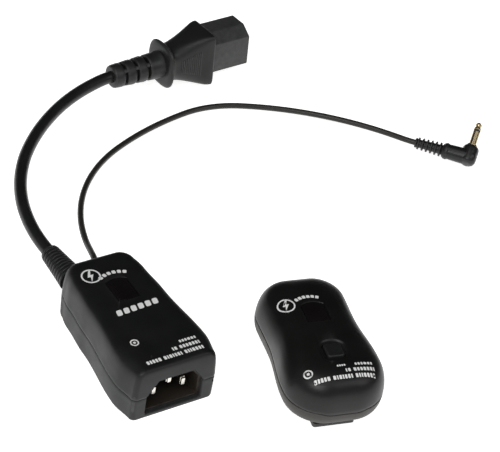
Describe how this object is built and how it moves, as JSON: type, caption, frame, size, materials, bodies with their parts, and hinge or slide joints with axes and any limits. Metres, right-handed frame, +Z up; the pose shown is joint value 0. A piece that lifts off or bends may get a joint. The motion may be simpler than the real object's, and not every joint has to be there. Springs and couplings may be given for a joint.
{
  "type": "wireless flash trigger",
  "caption": "Wireless flash trigger set: in-line receiver with mains inlet, mains and sync cords, and a shoe-mount transmitter with a test button.",
  "frame": {"origin": "middle of the receiver's flat underside, on the table plane", "axes": "+Z up from the table; +Y from the receiver's mains inlet end towards its cord end; +X to the receiver's right, towards the transmitter"},
  "size_m": [0.2538, 0.2569, 0.0306],
  "materials": {
    "case_top": "fine spark texture, black",
    "case_bottom": "fine spark texture, black",
    "tx_case_top": "satin black",
    "tx_case_bottom": "satin black-brown",
    "window": "smoked red, clear gloss",
    "led": "red diffused",
    "board": "green solder mask",
    "capacitor_film": "yellow box",
    "capacitor_can": "blue sleeve",
    "component": "black epoxy",
    "copper": "bare copper wire",
    "dip_body": "red moulding",
    "dip_slider": "white moulding",
    "screw": "zinc plated",
    "inlet_plastic": "black-brown moulding",
    "contact_metal": "nickel plated brass",
    "wire_sheath": "coloured insulation",
    "cord_rubber": "semi-gloss black sheath",
    "plug_plastic": "semi-gloss black overmould",
    "nose_plastic": "black moulding",
    "jack_rubber": "semi-gloss black overmould",
    "gold": "gold plated",
    "button": "satin black",
    "battery_sleeve": "printed sleeve",
    "foot_plastic": "black moulding",
    "plate_steel": "stamped steel",
    "spring_steel": "spring wire"
  },
  "bodies": {
    "receiver": {"rx_top_shell": "case_top", "rx_bottom_shell": "case_bottom", "rx_led_window": "window", "rx_led": "led", "rx_circuit_board": "board", "rx_supply_capacitor": "capacitor_film", "rx_smoothing_capacitor": "capacitor_can", "rx_rf_module": "board", "rx_antenna_coil": "copper", "rx_trigger_triac": "component", "rx_dip_switch_body": "dip_body", "rx_case_screws": "screw", "inlet_housing": "inlet_plastic", "inlet_pins": "contact_metal", "mains_conductors": "wire_sheath", "mains_boot": "cord_rubber", "sync_boot": "cord_rubber"},
    "mains_cord": {"mains_cord": "cord_rubber"},
    "mains_plug": {"plug_strain_relief": "plug_plastic", "plug_body": "plug_plastic", "plug_nose": "nose_plastic", "plug_contacts": "contact_metal"},
    "sync_cord": {"sync_cord": "cord_rubber"},
    "sync_plug": {"jack_strain_relief": "jack_rubber", "jack_body": "jack_rubber", "jack_sleeve": "gold", "jack_insulator": "component", "jack_tip": "gold"},
    "rx_dip_1": {"rx_dip_slider_1": "dip_slider"},
    "rx_dip_2": {"rx_dip_slider_2": "dip_slider"},
    "rx_dip_3": {"rx_dip_slider_3": "dip_slider"},
    "rx_dip_4": {"rx_dip_slider_4": "dip_slider"},
    "transmitter": {"tx_top_shell": "tx_case_top", "tx_bottom_shell": "tx_case_bottom", "tx_led_window": "window", "tx_led": "led", "tact_switch": "component", "tx_circuit_board": "board", "tx_rf_module": "board", "tx_antenna_coil": "copper", "tx_dip_switch_body": "dip_body", "tx_case_screws": "screw", "battery": "battery_sleeve", "battery_contacts": "contact_metal", "shoe_foot": "foot_plastic", "shoe_screws": "screw", "contact_spring": "spring_steel"},
    "test_button": {"test_button": "button"},
    "battery_door": {"battery_door": "tx_case_bottom"},
    "clamp": {"clamp_plate": "plate_steel"},
    "lock_wheel": {"lock_wheel": "foot_plastic"},
    "centre_contact": {"centre_contact": "gold"},
    "tx_dip_1": {"tx_dip_slider_1": "dip_slider"},
    "tx_dip_2": {"tx_dip_slider_2": "dip_slider"},
    "tx_dip_3": {"tx_dip_slider_3": "dip_slider"},
    "tx_dip_4": {"tx_dip_slider_4": "dip_slider"}
  },
  "joints": [
    {"name": "mains_cord_flex", "type": "hinge", "parent": "receiver", "child": "mains_cord", "pos_m": [-0.0094, 0.0445, 0.0135], "axis": [0, 0, 1], "range_deg": [0, 25], "deforming": ["mains_boot"]},
    {"name": "mains_plug_flex", "type": "hinge", "parent": "mains_cord", "child": "mains_plug", "pos_m": [0.0833, 0.16193, 0.015], "axis": [0, 0, 1], "range_deg": [-10, 20], "deforming": ["plug_strain_relief"]},
    {"name": "sync_cord_flex", "type": "hinge", "parent": "receiver", "child": "sync_cord", "pos_m": [0.0031, 0.0345, 0.013], "axis": [0, 0, 1], "range_deg": [-15, 3], "deforming": ["sync_boot"]},
    {"name": "sync_plug_flex", "type": "hinge", "parent": "sync_cord", "child": "sync_plug", "pos_m": [0.20364, 0.06976, 0.00447], "axis": [0, 0, 1], "range_deg": [-20, 20], "deforming": ["jack_strain_relief"]},
    {"name": "rx_channel_1", "type": "slide", "parent": "receiver", "child": "rx_dip_1", "axis": [0, 1, 0], "range_m": [0, 0.0017]},
    {"name": "rx_channel_2", "type": "slide", "parent": "receiver", "child": "rx_dip_2", "axis": [0, 1, 0], "range_m": [0, 0.0017]},
    {"name": "rx_channel_3", "type": "slide", "parent": "receiver", "child": "rx_dip_3", "axis": [0, 1, 0], "range_m": [0, 0.0017]},
    {"name": "rx_channel_4", "type": "slide", "parent": "receiver", "child": "rx_dip_4", "axis": [0, 1, 0], "range_m": [0, 0.0017]},
    {"name": "transmitter_lift", "type": "slide", "parent": "receiver", "child": "transmitter", "axis": [0, 0, 1], "range_m": [0, 0.06]},
    {"name": "test_button_press", "type": "slide", "parent": "transmitter", "child": "test_button", "axis": [0, 0, -1], "range_m": [0, 0.0005], "stiffness_N_per_m": 1500, "springref_m": -0.0004},
    {"name": "battery_door_slide", "type": "slide", "parent": "transmitter", "child": "battery_door", "axis": [0.2385, 0.9711, 0], "range_m": [0, 0.026]},
    {"name": "lock_wheel_turn", "type": "hinge", "parent": "clamp", "child": "lock_wheel", "pos_m": [0.05953, -0.06402, 0], "axis": [0, 0, -1], "range_deg": [0, 540]},
    {"name": "clamp_slide", "type": "slide", "parent": "transmitter", "child": "clamp", "axis": [0, 0, -1], "range_m": [0, 0.0012]},
    {"name": "centre_contact_press", "type": "slide", "parent": "transmitter", "child": "centre_contact", "axis": [0, 0, 1], "range_m": [0, 0.0008], "stiffness_N_per_m": 400, "springref_m": -0.001, "deforming": ["contact_spring"]},
    {"name": "tx_channel_1", "type": "slide", "parent": "transmitter", "child": "tx_dip_1", "axis": [0.2385, 0.9711, 0], "range_m": [0, 0.0017]},
    {"name": "tx_channel_2", "type": "slide", "parent": "transmitter", "child": "tx_dip_2", "axis": [0.2385, 0.9711, 0], "range_m": [0, 0.0017]},
    {"name": "tx_channel_3", "type": "slide", "parent": "transmitter", "child": "tx_dip_3", "axis": [0.2385, 0.9711, 0], "range_m": [0, 0.0017]},
    {"name": "tx_channel_4", "type": "slide", "parent": "transmitter", "child": "tx_dip_4", "axis": [0.2385, 0.9711, 0], "range_m": [0, 0.0017]}
  ],
  "couplings": [
    {"joint": "lock_wheel_turn", "follows": "clamp_slide", "rad_per_m": 7854}
  ]
}
